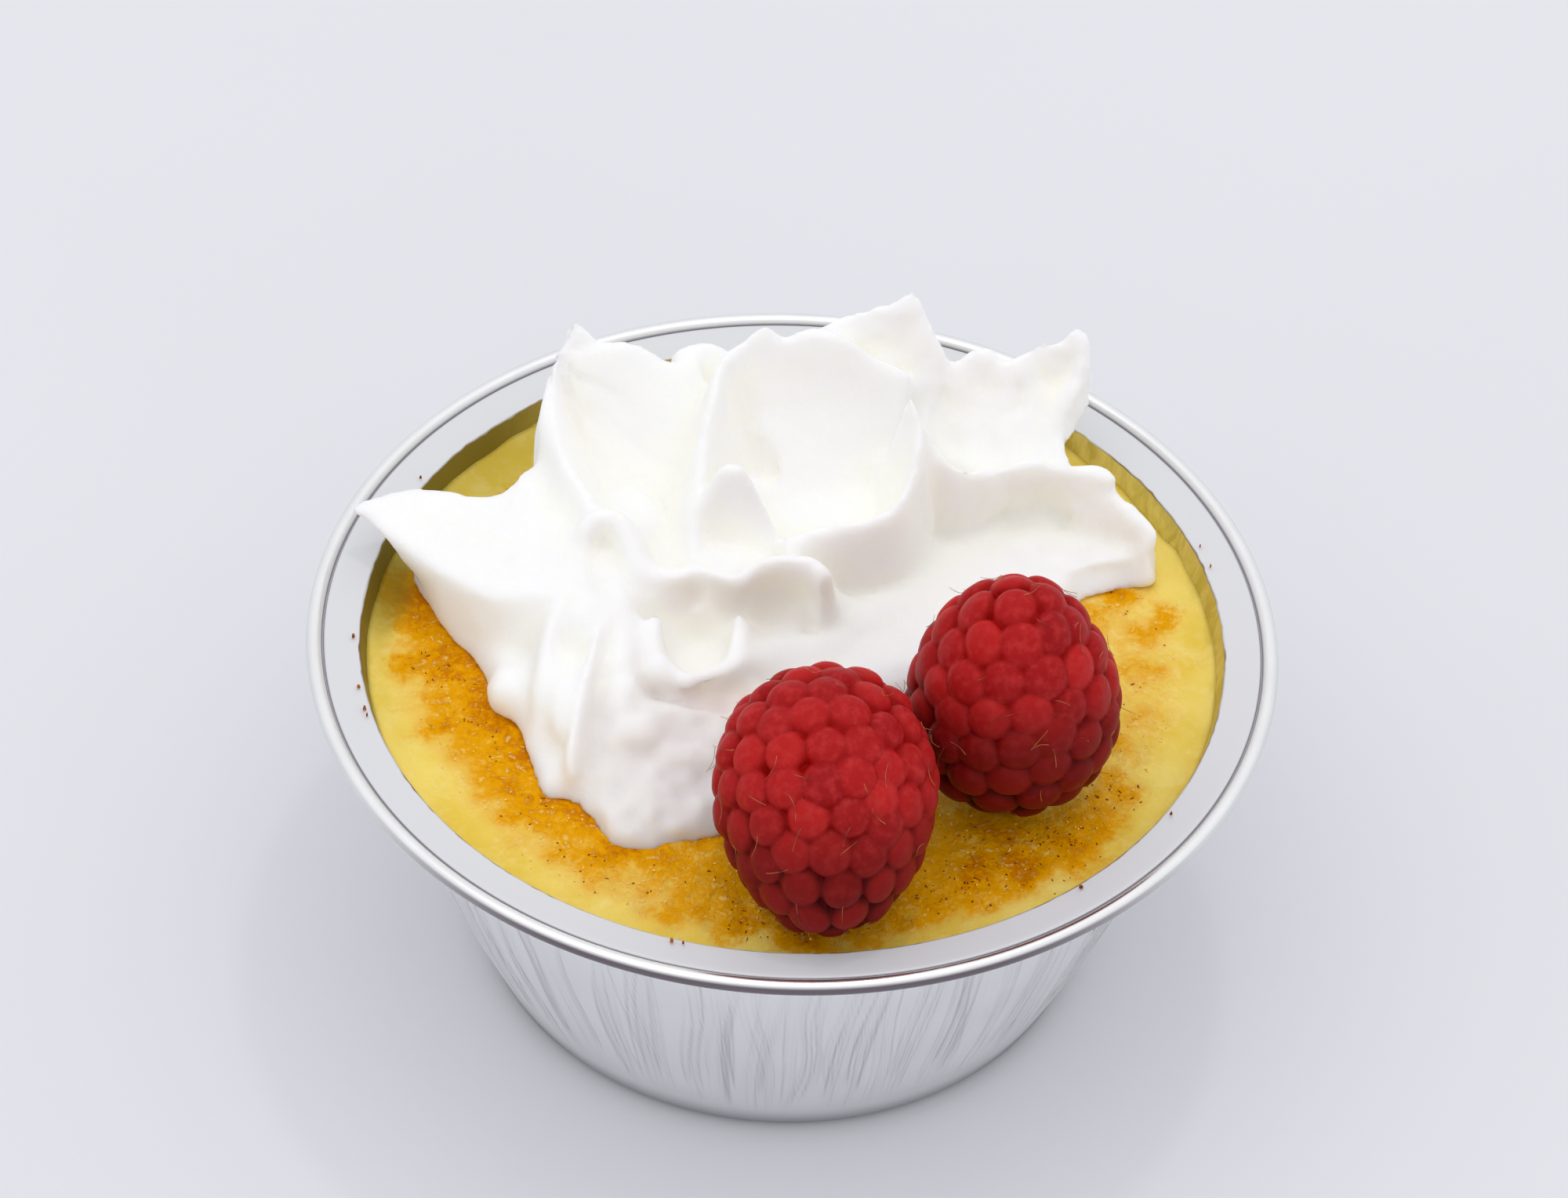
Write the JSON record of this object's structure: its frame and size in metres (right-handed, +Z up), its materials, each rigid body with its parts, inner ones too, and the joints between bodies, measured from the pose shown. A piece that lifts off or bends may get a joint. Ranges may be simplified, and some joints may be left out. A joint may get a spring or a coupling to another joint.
{
  "type": "creme brulee",
  "caption": "Baked custard with a browned top in a round foil cup, topped with a swirl of whipped cream and raspberries beside it.",
  "frame": {"origin": "centre of the cup's flat base, on the surface it stands on", "axes": "+Z up through the cup's axis, +X to the right and +Y to the back, with the raspberries at the front right"},
  "size_m": [0.088, 0.088, 0.0563],
  "materials": {
    "foil": "bright smooth foil with fine drawing wrinkles",
    "custard": "moist baked custard with a browned sugared top",
    "cream": "soft matte whipped cream",
    "raspberry": "velvety moist fruit skin"
  },
  "bodies": {
    "root": {"foil_cup": "foil", "custard": "custard", "whipped_cream": "cream", "raspberry_front": "raspberry", "raspberry_back": "raspberry"}
  },
  "joints": []
}
